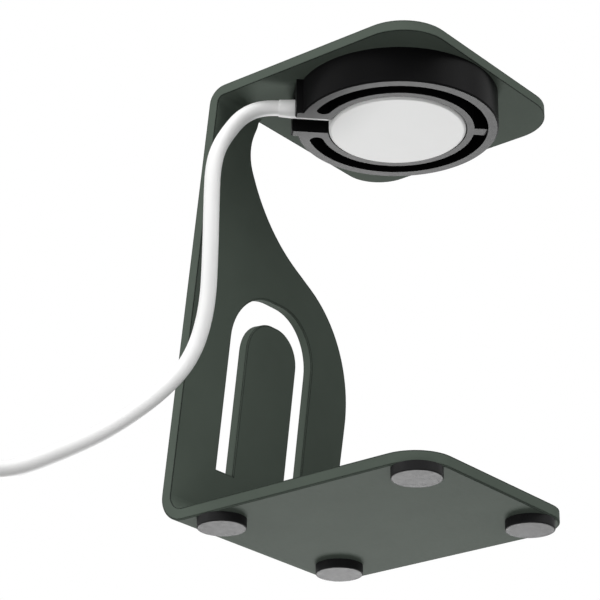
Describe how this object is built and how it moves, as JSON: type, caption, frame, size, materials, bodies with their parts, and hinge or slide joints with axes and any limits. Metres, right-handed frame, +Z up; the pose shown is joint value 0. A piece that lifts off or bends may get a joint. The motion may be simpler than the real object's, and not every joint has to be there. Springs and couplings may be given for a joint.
{
  "type": "charger stand",
  "caption": "Small C-shaped sheet-metal stand for a round watch charger, with a white puck held under its top plate, rubber feet and a white cord.",
  "frame": {"origin": "middle of the stand's footprint, without its cord, on the surface it stands on", "axes": "+Z up; -Y is the open front of the C and +Y the upright; -X is the side with the neck and the cord, +X the other side"},
  "size_m": [0.1623, 0.0812, 0.0946],
  "materials": {
    "painted_sheet": "fine matt",
    "foot_rubber": "satin",
    "black_plastic": "satin",
    "white_plastic": "soft gloss",
    "white_jacket": "satin",
    "copper": "lacquered copper wire",
    "ferrite": "matt",
    "magnet_plate": "nickel plated",
    "board": "satin",
    "tie_fabric": "woven",
    "plug_steel": "plated",
    "tongue_plastic": "satin",
    "contact_metal": "gold flashed"
  },
  "bodies": {
    "root": {"stand_frame": "painted_sheet", "foot_front_near": "foot_rubber", "foot_front_far": "foot_rubber", "foot_rear_near": "foot_rubber", "foot_rear_far": "foot_rubber", "charger_holder": "black_plastic", "puck_back_shell": "white_plastic", "puck_front_cap": "white_plastic", "charging_coil": "copper", "ferrite_shield": "ferrite", "alignment_magnet": "magnet_plate", "circuit_board": "board", "puck_strain_relief": "white_jacket", "charging_cord": "white_jacket", "cord_coil": "white_jacket", "cord_tie": "tie_fabric", "plug_strain_relief": "white_jacket", "plug_housing": "white_plastic", "plug_shell": "plug_steel", "plug_tongue": "tongue_plastic", "plug_contacts": "contact_metal"}
  },
  "joints": []
}
